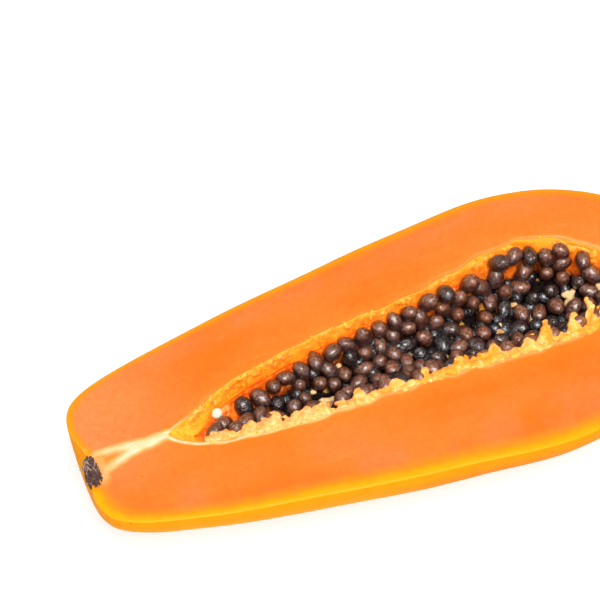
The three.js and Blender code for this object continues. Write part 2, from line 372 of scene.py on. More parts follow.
class Nodes:
    """A short way to write a material's nodes. Sizes are in millimetres, colours in sRGB."""

    def __init__(self, name):
        self.material = bpy.data.materials.new(name)
        self.material.use_nodes = True
        self.tree = self.material.node_tree
        self.place = self.node("ShaderNodeNewGeometry", "Position")

    def feed(self, target, value):
        """A socket takes a link, a colour in hexadecimal or a plain value."""
        if isinstance(value, bpy.types.NodeSocket):
            self.tree.links.new(value, target)
        else:
            target.default_value = colour(value) if isinstance(value, str) else value

    def node(self, kind, output, inputs=None, **settings):
        """Adds a node with those inputs and settings, and gives one of its outputs."""
        node = self.tree.nodes.new(kind)
        for key, value in settings.items():
            setattr(node, key, value)
        for key, value in (inputs or {}).items():
            self.feed(node.inputs[key], value)
        return node.outputs[output]

    def finished(self, **values):
        """Sets the shader's own sockets and gives the material."""
        shader = self.tree.nodes["Principled BSDF"]
        for key, value in values.items():
            self.feed(shader.inputs[key.replace("_", " ")], value)
        return self.material

    def layer(self, name):
        return self.node("ShaderNodeAttribute", "Fac", attribute_name=name)

    def stretched(self, along, across=1):
        """The place, for a pattern whose features are longer along the fruit if along is under 1."""
        if (along, across) == (1, 1):
            return self.place
        inputs = {0: self.place, 1: (along, across, 1)}
        return self.node("ShaderNodeVectorMath", 0, inputs, operation="MULTIPLY")

    def noise(self, size, detail=3, roughness=0.55, along=1, distortion=0.0):
        """Noise from 0 to 1 with features of about that size."""
        return self.node("ShaderNodeTexNoise", "Fac", {
            "Vector": self.stretched(along),
            "Scale": 1 / (size * MM),
            "Detail": detail,
            "Roughness": roughness,
            "Distortion": distortion,
        })

    def ramp(self, value, low, high):
        """0 below low and 1 above high, or the other way round if low is above high."""
        backwards = low > high
        return self.node("ShaderNodeMapRange", "Result", {
            "Value": value,
            "From Min": min(low, high),
            "From Max": max(low, high),
            "To Min": 1.0 if backwards else 0.0,
            "To Max": 0.0 if backwards else 1.0,
        }, interpolation_type="SMOOTHSTEP")

    def patches(self, size, low, high, detail=3, roughness=0.55, along=1):
        """Patches of about that size: 0 where the noise is below low, 1 where it is above high."""
        return self.ramp(self.noise(size, detail, roughness, along), low, high)

    def dots(self, size, outer, inner, along=1, across=1):
        """Round dots, one in each cell of that size, as wide as those shares of it."""
        inputs = {"Vector": self.stretched(along, across), "Scale": 1 / (size * MM)}
        return self.ramp(self.node("ShaderNodeTexVoronoi", "Distance", inputs), outer, inner)

    def math(self, operation, a, b):
        return self.node("ShaderNodeMath", 0, {0: a, 1: b}, operation=operation)

    def mix(self, share, a, b):
        inputs = {"Factor": share, "A": a, "B": b}
        return self.node("ShaderNodeMix", "Result", inputs, data_type="RGBA")

    def tint(self, base, tone, strength, *shares):
        """Mixes a tone into the base with that strength, where all the shares are high."""
        total = shares[0]
        for share in shares[1:]:
            total = self.math("MULTIPLY", total, share)
        return self.mix(self.math("MULTIPLY", total, strength), base, tone)

    def wavering(self, value, size, reach):
        """The value, moved up and down by noise over that reach in all."""
        centred = self.math("SUBTRACT", self.noise(size), 0.5)
        return self.math("ADD", value, self.math("MULTIPLY", centred, reach))

    def varied(self, size, least, spread, detail=3):
        """A value from least to least plus spread that varies over that size."""
        return self.math("ADD", self.math("MULTIPLY", self.noise(size, detail), spread), least)

    def bump(self, height, distance, strength=1.0, under=None):
        """A relief of that height, on top of another one."""
        inputs = {"Height": height, "Distance": distance * MM, "Strength": strength}
        if under is not None:
            inputs["Normal"] = under
        return self.node("ShaderNodeBump", "Normal", inputs)


def colour(hex_code):
    """An sRGB colour as the linear values that shaders use."""
    parts = [int(hex_code[k:k + 2], 16) / 255 for k in (0, 2, 4)]
    linear = [((v + 0.055) / 1.055) ** 2.4 if v > 0.04045 else v / 12.92 for v in parts]
    return (*linear, 1.0)


WARM_GLOSS = (1.0, 0.72, 0.45, 1.0)


def spread_light(weight, radius, depth):
    """Settings for light that spreads under the surface, to that depth in millimetres."""
    return {
        "Subsurface_Weight": weight,
        "Subsurface_Radius": radius,
        "Subsurface_Scale": depth * MM,
    }


def flesh_material():
    """Cut flesh: a yellow line under the skin, a pale line round the hollow, and white strands."""
    n = Nodes("papaya_flesh")
    rim, along, strand, near = (n.layer(key) for key in ("rim", "along", "strand", "near_side"))
    far = n.math("SUBTRACT", 1.0, near)
    base = n.mix(n.patches(26, 0.36, 0.64, 3, 0.5, 0.55), "FA7018", "FF7C2E")
    base = n.tint(base, "FF7C48", 0.6, n.ramp(rim, 17, 5), n.patches(19, 0.38, 0.62))
    base = n.tint(base, "FA6C30", 0.5, n.ramp(rim, 7.5, 2.5), n.patches(8, 0.35, 0.62))
    base = n.tint(base, "FF8E58", 0.65, n.ramp(along, 60, 10), far)
    base = n.tint(base, "FF9A50", 0.28, n.ramp(along, 120, 190), far)
    base = n.tint(base, "FF8624", 0.4, n.ramp(n.layer("hollow"), 9, 1))

    # Mottle, fibres along the fruit, grain and rare dark dots
    base = n.tint(base, "EC5E10", 0.3, n.patches(2.3, 0.3, 0.72, 4, 0.6))
    base = n.tint(base, "FF8E4C", 0.2, n.patches(3.4, 0.55, 0.72, 3, 0.6, 0.2))
    base = n.tint(base, "F2700E", 0.2, n.patches(0.75, 0.36, 0.66, 3, 0.6, 0.6))
    base = n.tint(base, "C4500C", 0.7, n.dots(3.3, 0.11, 0.05, 0.7), n.patches(7, 0.42, 0.54, 2))

    # The eye between the strands, the yellow under the skin, and the strands
    base = n.mix(n.layer("eye"), base, "F08410")
    from_skin = n.wavering(rim, 5, 1.6)
    base = n.mix(n.ramp(from_skin, 4.2, 1.2), base, "FF8A10")
    base = n.mix(n.ramp(from_skin, 2.2, 0.5), base, n.mix(near, "E89214", "FFA000"))
    fibres = n.patches(1.1, 0.3, 0.7, 3, 0.6, 0.25)
    base = n.mix(n.ramp(strand, 0.04, 0.5), base, n.mix(fibres, "FFA252", "FFB06A"))
    base = n.mix(n.ramp(strand, 0.4, 0.95), base, n.mix(fibres, "F8C488", "F8DCB8"))
    return n.finished(
        Base_Color=base,
        Roughness=n.varied(1.6, 0.36, 0.2),
        Normal=n.bump(n.noise(0.7, 4, 0.62), 0.07, 0.7, n.bump(n.noise(2.6), 0.14, 0.6)),
        **spread_light(0.2, (1.0, 0.34, 0.1), 2.5),
        Specular_IOR_Level=0.3,
        Specular_Tint=WARM_GLOSS,
    )


def wall_material():
    """The wall of the hollow: torn orange fibres, yellow near the cut and redder and darker below,
    partly its own colour and partly painted shade, with painted red shade round the seeds and a painted
    glow.
    """
    n = Nodes("papaya_hollow_wall")
    under, along = n.layer("under"), n.layer("along")
    fibres = n.patches(1.4, 0.34, 0.66, 4, 0.65)
    upper = n.mix(fibres, "FF9814", "FFC04C")
    lower = n.mix(fibres, "F65606", "FF8418")
    # Redder and darker lower down: partly the wall's own colour, partly painted shade.
    base = n.mix(n.ramp(n.wavering(under, 9, 7), 2.5, 8), upper, lower)
    base = n.tint(base, "FFB224", 0.6, n.patches(5, 0.5, 0.6), n.ramp(along, 125, 95))
    base = n.tint(base, "FFA628", 0.85, n.patches(11, 0.42, 0.52, 2), n.ramp(along, 135, 160))
    # Painted shade: red-orange on the wall round each seed.
    base = n.tint(base, "E23A02", 0.9, n.layer("seed_shade"))
    base = n.tint(base, "FFC978", 0.5, n.patches(2.2, 0.62, 0.7, 3, 0.6))
    rough = n.bump(n.noise(1.2, 4, 0.65), 0.6, 0.9)
    return n.finished(
        Base_Color=base,
        Roughness=0.4,
        Normal=n.bump(n.noise(0.45, 3, 0.6), 0.14, 0.8, rough),
        **spread_light(0.6, (1.0, 0.4, 0.08), 5),
        # Painted glow, as if light soaked through the flesh; the wall is no lamp.
        Emission_Color="FF8C18",
        Emission_Strength=0.42,
        Specular_IOR_Level=0.2,
        Specular_Tint=WARM_GLOSS,
    )


def skin_material():
    """Ripe skin: yellow to orange, olive in places, with streaks, specks and pale dots."""
    n = Nodes("papaya_skin")
    under, along = n.layer("under"), n.layer("along")
    base = n.mix(n.patches(44, 0.38, 0.62, 3, 0.5, 0.32), "FAA306", "F08604")
    base = n.tint(base, "E57306", 0.5, n.patches(30, 0.5, 0.68, along=0.45))
    greenish = n.math("ADD", n.noise(52, along=0.4), n.ramp(under, 10, 44))
    base = n.tint(base, n.mix(n.noise(14), "8A8204", "B89606"), 0.8, n.ramp(greenish, 0.95, 1.5))
    base = n.tint(base, "D88606", 0.25, n.patches(2.6, 0.5, 0.74, 4, 0.6, 0.12))
    base = n.tint(base, "FFB81E", 0.25, n.patches(3.5, 0.56, 0.76, 3, 0.6, 0.16))
    fresh = n.math("ADD", n.ramp(under, 16, 3), n.ramp(along, 26, 8))
    base = n.tint(base, "FA9A00", 0.85, n.ramp(fresh, 0, 1))

    # Brown specks, pale dots, mottle and the browned stem end
    base = n.tint(base, "7A4A10", 0.75, n.dots(4.4, 0.12, 0.06), n.patches(9, 0.5, 0.62, 2))
    base = n.tint(base, "FFC860", 0.4, n.dots(2.6, 0.12, 0.05, 0.9, 1.1))
    base = n.tint(base, "D47E04", 0.22, n.patches(5.5, 0.38, 0.68, 4, 0.62, 0.7))
    base = n.tint(base, "C8801A", 0.5, n.ramp(along, 8, 3), n.patches(3, 0.46, 0.7))
    base = n.tint(base, "C06A08", 0.22, n.patches(0.9, 0.56, 0.74, 4, 0.7))

    # The ragged blossom scar
    from_pole = n.wavering(n.layer("pole"), 2.2, 3.0)
    base = n.tint(base, "A8741A", 0.5, n.ramp(from_pole, 6.5, 4.0))
    base = n.mix(n.ramp(from_pole, 4.2, 3.4), base, n.mix(n.noise(0.8), "2E1A0C", "7A5430"))
    pores = n.bump(n.dots(1.7, 0.0, 0.3), 0.03, 0.5)
    return n.finished(
        Base_Color=base,
        Roughness=n.varied(6, 0.42, 0.16),
        Normal=n.bump(n.noise(0.6), 0.04, 0.5, pores),
        **spread_light(0.15, (1.0, 0.5, 0.1), 1.5),
        Specular_IOR_Level=0.01,
        Specular_Tint=(1.0, 0.78, 0.35, 1.0),
    )


def stalk_material():
    """Pale placenta that is torn off with the seeds, with painted shade in the dips between its humps
    and paler humps.
    """
    n = Nodes("papaya_stalks")
    # Painted light and shade: darker orange in the dips, paler on the humps.
    base = n.mix(n.ramp(n.layer("hump"), -0.5, 0.5), "D8883E", "E8BC7E")
    return n.finished(
        Base_Color=n.tint(base, "F4D6AC", 0.5, n.patches(1.3, 0.32, 0.68, 4, 0.65)),
        Roughness=0.42,
        Normal=n.bump(n.noise(0.5, 4, 0.65), 0.2, 0.8),
        **spread_light(0.3, (1.0, 0.55, 0.25), 1.2),
        Specular_IOR_Level=0.3,
    )


def placenta_material():
    """Crumbs of placenta: cream on their tops, with painted shade in orange lower down and between the
    humps, and a painted glow.
    """
    n = Nodes("papaya_placenta")
    far = n.layer("far_side")
    grain = n.patches(1.3, 0.32, 0.68, 4, 0.65)
    golden = n.mix(grain, "FF9012", "FFAE34")
    cream = n.mix(grain, "F0A452", "FFCE92")
    near_top = n.mix(grain, "FFB03C", "FFD28C")
    near_top = n.tint(near_top, golden, 0.8, n.patches(6, 0.46, 0.6, 2))
    near_top = n.tint(near_top, cream, 0.75, n.ramp(n.layer("along"), 120, 75))
    top = n.mix(far, near_top, n.mix(grain, "FF8E14", "FFC05A"))
    # Painted shade: the crumbs are darker orange lower down and between the humps.
    humps = n.math("MULTIPLY", n.ramp(n.layer("hump"), -0.3, 0.3), 0.5)
    lit = n.math("ADD", n.ramp(n.layer("height"), -4.6, -1.2), humps)
    base = n.mix(n.ramp(lit, 0.5, 1.3), n.mix(grain, "FA7608", "FF9A22"), top)
    return n.finished(
        Base_Color=n.tint(base, "EE6404", 0.6, n.patches(2.0, 0.52, 0.66, 4, 0.65), far),
        Roughness=0.42,
        Normal=n.bump(n.noise(0.5, 4, 0.65), 0.2, 0.8),
        **spread_light(0.45, (1.0, 0.45, 0.14), 1.6),
        # Painted glow, as if light soaked through the crumbs; they are no lamp.
        Emission_Color="FF8C1C",
        Emission_Strength=0.2,
        Specular_IOR_Level=0.25,
        Specular_Tint=(1.0, 0.82, 0.6, 1.0),
    )


def bed_material():
    """What the seeds sit in: wet orange fibre, painted near black lower down as shade in the depth."""
    n = Nodes("papaya_seed_bed")
    fibres = n.patches(1.6, 0.34, 0.66, 4, 0.65)
    orange = n.mix(fibres, "D8480A", "FF8420")
    dark = n.mix(fibres, "040202", "180804")
    # Painted shade: near black from about 9 to 13.5 millimetres under the cut.
    base = n.mix(n.ramp(n.wavering(n.layer("height"), 10, 9), -9, -13.5), orange, dark)
    return n.finished(
        Base_Color=n.tint(base, "FFBE6A", 0.6, n.patches(4.4, 0.6, 0.66, 3, 0.5)),
        Roughness=0.35,
        Normal=n.bump(n.noise(1.0, 4, 0.65), 0.6, 0.9),
        **spread_light(0.2, (1.0, 0.3, 0.1), 2),
        Specular_IOR_Level=0.08,
    )


def seed_material():
    """Wet seeds: a dark wrinkled core in a thin brown coat with a broad grey gloss, painted lighter on
    top and darker below, with painted highlight patches on top and painted shade where seeds touch.
    """
    n = Nodes("papaya_seed_coat")
    tone, up = n.layer("tone"), n.layer("up")
    grain = n.patches(1.1, 0.34, 0.68, 3, 0.6)
    # Painted light and shade: the brown coat is lighter where it faces up and darker below.
    lower = n.mix(grain, "2C0C03", "5A1E06")
    brown = n.mix(n.ramp(up, 0.25, 1.0), lower, n.mix(grain, "622A0C", "A85E30"))
    # Painted highlight: pale patches on the tops of the brown seeds.
    highlight_patches = n.ramp(n.noise(1.0, 3, 0.6, distortion=1.2), 0.5, 0.62)
    brown = n.tint(brown, "BC9078", 0.46, highlight_patches, n.ramp(up, 0.5, 0.95))
    base = n.mix(tone, n.mix(grain, "050305", "140F16"), brown)
    folds = n.bump(n.noise(1.4, 3, 0.6, distortion=0.8), 0.6)
    duller = n.math("MULTIPLY", tone, 0.08)
    return n.finished(
        # Painted shade: near black where seeds touch.
        Base_Color=n.mix(n.layer("crowd"), base, "050202"),
        Roughness=n.math("ADD", n.varied(1.0, 0.17, 0.22, 2), duller),
        Normal=n.bump(n.noise(0.75, 2, 0.5), 0.32, 1.0, folds),
        Specular_IOR_Level=0.95,
        **spread_light(0.12, (1.0, 0.4, 0.2), 0.8),
        Coat_Weight=0.7,
        Coat_Roughness=0.18,
    )


def pale_seed_material():
    n = Nodes("papaya_white_seed")
    return n.finished(
        Base_Color=n.mix(n.patches(0.9, 0.3, 0.7, 3, 0.6), "FFDDB4", "FFF3E0"),
        Roughness=0.3,
        Normal=n.bump(n.noise(0.5, 3, 0.6), 0.08, 0.7),
        **spread_light(0.5, (1.0, 0.6, 0.4), 1.2),
    )


def scar_material():
    """Dry fibre, dark brown, with grey fibres that are partly pale fibre and partly painted highlight.
    """
    n = Nodes("papaya_stem_scar")
    grain = n.patches(0.5, 0.35, 0.68, 4, 0.7)
    dark = n.mix(grain, "22100F", "6B453C")
    return n.finished(
        Base_Color=n.mix(n.layer("tone"), dark, n.mix(grain, "8A6A5C", "D6C0AC")),
        Roughness=0.85,
        Normal=n.bump(n.noise(0.35, 4, 0.7), 0.15, 0.9),
    )


# Flesh and skin

ROWS_ALONG = 300
ROWS_ROUND_SKIN = 110
ROWS_DOWN_WALL = 80
CUT_RINGS = [0, 0.008, 0.02, 0.04, *np.linspace(0.07, 0.93, 27), 0.96, 0.985, 1]
FAR_OFF = 30.0

SKIN_RELIEF = {"height": 0.16, "size": 7, "seed": 40}
USUAL_RADIUS = 45
BLOSSOM = {"from": 200, "radius": 4.0, "deep": 0.7}

# The wall: how deep it is torn, and swells that rise on the blossom side
TORN = {"deep": 1.1, "middle": 0.5, "below": 1.5}
TORN_FIBRES = {"height": 0.6, "size": 2.6, "seed": 50}
TORN_LUMPS = {"height": 0.4, "size": 7, "seed": 60, "layers": 2}
SWELLS = {"height": 1, "size": 9, "seed": 65, "layers": 2}
SWELLS_HIGH = 3.0
SWELLS_BELOW = 4
SWELLS_START = np.array([[120, 0], [140, 1]])

# The cut: its relief, and how its edges are rounded: (depth, reach)
CUT_SWELL = {"height": 0.1, "size": 9, "seed": 70}
CUT_GRAIN = {"height": 0.05, "size": 1.6, "seed": 80}
STRAND_HEIGHT = 0.1
RIM_ROUNDED = (0.35, 0.35)
EDGE_ROUNDED = (0.3, 0.5)
RIM_TOP = -0.3

# The white strands in the cut: (distance from the stem end, across), from the scar to the hollow
UPPER_STRAND = np.array([[5, 1.8], [11.5, 1.4], [17.7, 0.6], [23.5, -0.1], [31, 0.2]])
LOWER_STRAND = np.array([[4.5, -7.5], [7, -5.5], [10.3, -4.1], [16.5, -1.8], [23.2, -1], [31, 0]])
STRAND_HALF = [1.5, 1.8]
STRAND_WHITE = np.array([[6, 0.62], [18, 1]])
STRAND_WANDER = {"height": 0.3, "size": 2.4}
SCAR_HALO = {"s": 4.6, "y": -4.4, "along": 3.9, "across": 6.6}
HALO_WHITE = 0.52
EYE = {"s": 10, "y": -1.9, "along": 3.4, "across": 1.2}

# The pale line round the hollow: distance from the stem end, distance out of the edge, half width
NEAR_LINE = np.array([[60, 1.1, 0.9], [105, 0.3, 1.5]])
FAR_LINE = np.array([[60, 1.1, 0.95]])
LINE_WANDER = {"height": 0.35, "size": 4, "seed": 7}

# How pale the line is, by the distance from the stem end
NEAR_PALE = np.array([[50, 1], [110, 0.38]])
FAR_PALE = np.array([
    [31, 0.8],
    [44, 0.25],
    [60, 0.1],
    [135, 0.15],
    [150, 0.26],
    [180, 0.28],
    [190, 0.42],
])
NEAR_YELLOW = {"from": 4, "to": -14, "width": 0.95}
# How far the painted red shade round the seeds reaches
SEED_SHADE_REACH = 2.2

# The pocket for the stem scar, sunk where a point is nearer than its edge
SCAR_POCKET = {"s": 2.9, "y": -3.1, "along": 2.8, "across": 6.4}
POCKET = {"edge": 1.35, "most": 0.5, "steep": 4, "above": -2.5}


def middle_line(s):
    """Half way between the hollow's two edges."""
    return (smooth_between(s, 1) + smooth_between(s, 2)) / 2


def from_spot(points, spot):
    """How far points of the cut lie from a spot, as a share of its size."""
    return np.hypot((points[:, 0] - spot["s"]) / spot["along"],
                    (points[:, 1] - spot["y"]) / spot["across"])


def distance_to_path(points, path):
    """How far each point of the cut lies from a path of straight stretches, and the share along it."""
    best = np.full(len(points), np.inf)
    share = np.zeros(len(points))
    for k in range(len(path) - 1):
        a, step = path[k], path[k + 1] - path[k]
        u = np.clip(((points - a) @ step) / (step @ step), 0, 1)
        gap = np.linalg.norm(points - a - u[:, None] * step, axis=1)
        nearer = gap < best
        best = np.where(nearer, gap, best)
        share = np.where(nearer, (k + u) / (len(path) - 1), share)
    return best, share


def strand_share(points):
    """1 on a white strand and 0 off it, for points of the cut."""
    shift = [plain_relief(points, seed=seed, **STRAND_WANDER) for seed in (5, 6)]
    flat = points[:, :2] + np.stack(shift, -1)
    total = np.zeros(len(points))
    for path in (UPPER_STRAND, LOWER_STRAND):
        gap, share = distance_to_path(flat, path)
        half = np.interp(share, [0, 1], STRAND_HALF)
        total = np.maximum(total, between(STRAND_WHITE, flat[:, 0], 1) * np.exp(-(gap / half) ** 2))
    return np.maximum(total, HALO_WHITE * np.exp(-from_spot(flat, SCAR_HALO) ** 4))


def edge_line(points, from_edge):
    """The pale line just outside the hollow, strongest where it leaves the strands."""
    s = points[:, 0]
    nearer = points[:, 1] < middle_line(s)

    def by_side(near_table, far_table, column):
        return np.where(nearer, between(near_table, s, column), between(far_table, s, column))

    out, half = by_side(NEAR_LINE, FAR_LINE, 1), by_side(NEAR_LINE, FAR_LINE, 2)
    off_line = (from_edge - out + plain_relief(points, **LINE_WANDER)) / half
    return by_side(NEAR_PALE, FAR_PALE, 1) * np.exp(-off_line ** 2)


def skin_grid():
    """The outside, with a flat spot to rest on and a dimple at the blossom end."""
    share = np.linspace(0, 1, ROWS_ROUND_SKIN + 1)
    phi = np.pi * (share - 0.5 * np.sin(2 * np.pi * share) / (2 * np.pi))
    skin = skin_points(even_shares(SKIN, ROWS_ALONG)[:, None], phi[None, :])
    swell = 1 + relief(skin, **SKIN_RELIEF) * np.sin(phi)[None, :] / USUAL_RADIUS
    skin[..., 1:] *= swell[..., None]
    skin[..., 2] = np.maximum(skin[..., 2], -CUT_HEIGHT)
    from_axis = np.hypot(skin[..., 1], skin[..., 2])
    sunk = BLOSSOM["deep"] * np.exp(-(from_axis / BLOSSOM["radius"]) ** 4)
    skin[..., 0] -= np.where(skin[..., 0] > BLOSSOM["from"], sunk, 0)
    return skin


def wall_grid():
    """The wall of the hollow, torn and fibrous."""
    t = even_shares(CAVITY, ROWS_ALONG)[:, None]
    phi = np.pi * np.linspace(0, 1, ROWS_DOWN_WALL + 1)[None, :]
    even_wall = cavity_points(t, phi)
    down = -even_wall[..., 2]
    torn = TORN["middle"] + relief(even_wall, **TORN_FIBRES) + relief(even_wall, **TORN_LUMPS)
    torn *= TORN["deep"] * np.clip(down / TORN["below"], 0, 1)
    swells = SWELLS_HIGH * np.clip(relief(even_wall, **SWELLS), 0, 1)
    swells *= between(SWELLS_START, even_wall[..., 0], 1) * np.clip(down / SWELLS_BELOW, 0, 1)
    wall = cavity_points(t, phi, (torn + swells) * np.sin(np.pi * t) ** 0.5)
    wall[..., 0] = even_wall[..., 0]
    return wall


def cut_relief(points, from_rim, from_edge):
    """The height of the cut's surface over a flat one."""
    height = relief(points, **CUT_SWELL) + plain_relief(points, **CUT_GRAIN)
    height += STRAND_HEIGHT * strand_share(points)
    for distance, (deep, reach) in ((from_rim, RIM_ROUNDED), (from_edge, EDGE_ROUNDED)):
        height -= deep * np.exp(-distance / reach)
    return height


def fruit_half(seeds):
    """Flesh, wall and skin as one closed mesh. Its points are the skin's, the wall's and the cut's."""
    points = []
    skin_index = numbered(skin_grid(), points)
    wall_index = numbered(wall_grid(), points)
    outer = np.concatenate([skin_index[:, 0], skin_index[-2:0:-1, -1]])
    inner = np.concatenate([wall_index[:, 0], wall_index[-2:0:-1, -1]])
    stacked = np.array(points)
    start = len(stacked)
    rim, edge = stacked[outer][:, None], stacked[inner][:, None]
    rings = np.array(CUT_RINGS[1:-1])[None, :, None]
    cut = rim * (1 - rings) + edge * rings
    cut_index = start + np.arange(cut.shape[0] * cut.shape[1]).reshape(cut.shape[:2])
    cut_index = np.concatenate([outer[:, None], cut_index, inner[:, None]], 1)
    from_rim = np.linalg.norm(cut - rim, axis=-1).reshape(-1)
    from_edge = np.linalg.norm(cut - edge, axis=-1).reshape(-1)
    cut = cut.reshape(-1, 3)
    cut[:, 2] += cut_relief(cut, from_rim, from_edge)
    stacked = np.concatenate([stacked, cut])
    pocket = np.clip(POCKET["edge"] - from_spot(stacked, SCAR_POCKET), 0, POCKET["most"])
    stacked[:, 2] -= POCKET["steep"] * pocket * (stacked[:, 2] > POCKET["above"])
    stacked[outer, 2] = np.minimum(stacked[outer, 2], RIM_TOP)

    # Values that the materials read
    s, y, z = stacked.T
    near_side = np.interp(y, [NEAR_YELLOW["to"], NEAR_YELLOW["from"]], [1, 0])
    rim_layer = np.zeros(len(stacked))
    rim_layer[start:] = from_rim
    rim_layer[inner] = FAR_OFF
    edge_layer = np.full(len(stacked), FAR_OFF)
    edge_layer[start:] = from_edge
    edge_layer[inner] = 0
    # Painted shade: how near each point of the wall lies to a seed, for the red shade painted round the
    # seeds.
    seed_shade = np.zeros(len(stacked))
    on_wall = np.unique(wall_index)
    seed_shade[on_wall] = np.exp(-nearest_gap(stacked[on_wall], seeds) / SEED_SHADE_REACH)
    layers = {
        "rim": rim_layer / (1 + NEAR_YELLOW["width"] * near_side),
        "hollow": edge_layer,
        "strand": np.maximum(strand_share(stacked), edge_line(stacked, edge_layer)),
        "eye": np.exp(-from_spot(stacked, EYE) ** 2),
        "near_side": near_side,
        "under": -z,
        "along": s,
        "seed_shade": seed_shade,
        "pole": np.where(s > BLOSSOM["from"], np.hypot(y, z), FAR_OFF),
    }
    indexes = (cut_index, True), (skin_index, False), (wall_index, False)
    faces, regions = [], []
    for region in (1, 2, 0):
        index, closed = indexes[region]
        own = grid_faces(index, closed)
        faces.extend(own)
        regions.extend([region] * len(own))
    materials = [flesh_material(), skin_material(), wall_material()]
    return mesh_object("papaya_flesh_and_skin", stacked, faces, materials, regions, layers)


def numbered(grid, points):
    """Adds a grid of points, whose first and last rows are one point each, and gives their numbers."""
    rows, columns = grid.shape[:2]
    index = np.zeros((rows, columns), int)
    for i in range(rows):
        pole = i in (0, rows - 1)
        index[i] = len(points) if pole else len(points) + np.arange(columns)
        points.extend(grid[i, :1] if pole else grid[i])
    return index


# Seeds

SEED_BALL = 4
DEEP_SEED_BALL = 3
WRINKLE_SPAN = 3  # how much of the noise a seed spans
BROAD_WRINKLES = {"height": 0.035, "size": 1.4, "layers": 2}
FINE_WRINKLES = {"height": 0.022, "size": 0.55}
FINE_SEED_STEP = 5

# What the random draws and the wrinkles start from, and how far each seed's wrinkles are shifted
SEED_DRAWS = {"random": 11, "wrinkles": 90, "shift": 31.7}
DEEP_DRAWS = {"random": 17, "wrinkles": 91, "shift": 47.1}

SEED_LONGER = 1.15
SEED_NARROWER = 0.98
POINTED = 0.1
STEM_SIDE_SIZE = np.array([[70, 0.97], [130, 1]])
STEM_SIDE_TONE = np.array([[80, 0.68], [135, 1]])

# The chance that a seed is black, by its depth, and the tones of black and brown seeds
# More black seeds lower down: partly seeds that are black, partly painted shade in the depth.
DARK_CHANCE = np.array([[10, 0.08], [17, 0.48]])
DARK_TONE = [0, 0.25]
BROWN_TONE = [0.65, 1]
# Painted shade where seeds touch: how dark, and how far it reaches
CONTACT_SHADE = {"dark": 0.85, "reach": 0.7}

DEEP_SEEDS = {
    "count": 140,
    "radius": [2.3, 2.9],
    "long": 1.3,
    "lower": [0.05, 0.13],  # shares of the hollow's depth
    "along": [66, 200],
    "round": [0.22, 0.8],
    "tone": [0, 0.12],
}

BED_SHARE = 0.84
BED_ENDS = [0.12, 0.955]
BED_GRID = (200, 50)
BED_RELIEF = {"height": 0.55, "size": 3.2, "seed": 120}
BED_EDGE = 1  # how far the bed's edges rise over its usual top
BED_THICK = 0.4
BED_LEAST = 0.2  # how far its lowest part lies under its edges, at least


def layer_point(s, phi, lift):
    """Where the middle of a seed lies on the seed layer."""
    far, near = between(CAVITY, s, 1), between(CAVITY, s, 2)
    floor = between(CAVITY, s, 3) * SEED_FLOOR_SHARE - SEED_SINK - lift
    depth = max(SEED_NEAR_GAP + LEAST_RADIUS, floor)
    half = max(LEAST_RADIUS, (far - near) / 2 - SEED_WALL_GAP - SIDE_LIFT * lift)
    first = math.asin(min(1, between(SEED_FAR_GAP, s, 1) / depth))
    last = math.pi - math.asin(min(1, SEED_NEAR_GAP / depth))
    angle = max(first, min(last, phi))
    y = (far + near) / 2 + half * math.cos(angle)
    return {"at": np.array([s, y, -depth * math.sin(angle)]), "half": half, "depth": depth}


def seed_layout():
    """The solids' seeds: drawn over the layer, then pushed apart until they lie side by side."""
    random = seeded_random(SEED_DRAW)
    seeds = []
    while len(seeds) < SEED_COUNT:
        s = drawn(random, [SEED_START, SEED_END])
        phi = math.pi * next(random)
        if next(random) > between(SEED_DENSITY, s, 1):
            continue
        lift = drawn(random, SEED_LIFT)
        radius = SEED_RADIUS + SEED_RADIUS_SPREAD * drawn(random, [-1, 1])
        stretch = drawn(random, SEED_STRETCH)
        own = {"lift": lift, "radius": radius, "stretch": stretch, "turn": drawn_turn(random)}
        seeds.append({**layer_point(s, phi, lift), **own})
    for _ in range(SETTLE_STEPS):
        settle(seeds)
    return seeds


def settle(seeds):
    """One step of pushing the seeds apart, each then put back on the layer."""
    at = np.array([seed["at"] for seed in seeds])
    radius = np.array([seed["radius"] for seed in seeds])
    apart = at[None] - at[:, None]
    distance = np.maximum(LEAST_DISTANCE, np.linalg.norm(apart, axis=-1))
    short = np.maximum(0, PACKING * (radius[:, None] + radius[None]) - distance)
    np.fill_diagonal(short, 0)
    pushes = -(PUSH * short / distance)[..., None] * apart
    for seed, push in zip(seeds, pushes.sum(1)):
        moved = seed["at"] + push
        s = max(SEED_START, min(SEED_END, moved[0]))
        middle = (between(CAVITY, s, 1) + between(CAVITY, s, 2)) / 2
        across = (moved[1] - middle) / seed["half"]
        down = max(0, -moved[2] / seed["depth"])
        seed.update(layer_point(s, math.atan2(down, across), seed["lift"]))


def nearest_gap(points, seeds, own=None):
    """How far each point lies from the closest seed, each taken as a round ball."""
    at = np.array([seed["at"] for seed in seeds])
    radius = np.array([seed["radius"] for seed in seeds])
    gap = np.linalg.norm(points[:, None] - at[None], axis=-1) - radius[None]
    if own is not None:
        gap[:, own] = FAR_OFF
    return np.maximum(0, gap.min(1))


def crowding(points, seeds, own=None):
    """Painted shade: 1 where a seed touches another and 0 well off it."""
    return CONTACT_SHADE["dark"] * np.exp(-nearest_gap(points, seeds, own) / CONTACT_SHADE["reach"])


def seed_lump(points, long, narrow, radius, draws, number):
    """A long ball, slimmer toward one end, with the wrinkled relief of a seed's coat."""
    shaped = points * [long, narrow, narrow] * radius
    shaped[:, 1:] *= 1 - POINTED * points[:, :1]
    place = points * WRINKLE_SPAN + draws["shift"] * number
    folds = relief(place, seed=draws["wrinkles"], **BROAD_WRINKLES)
    folds += plain_relief(place, seed=draws["wrinkles"] + FINE_SEED_STEP, **FINE_WRINKLES)
    return shaped * (1 + folds)[:, None]


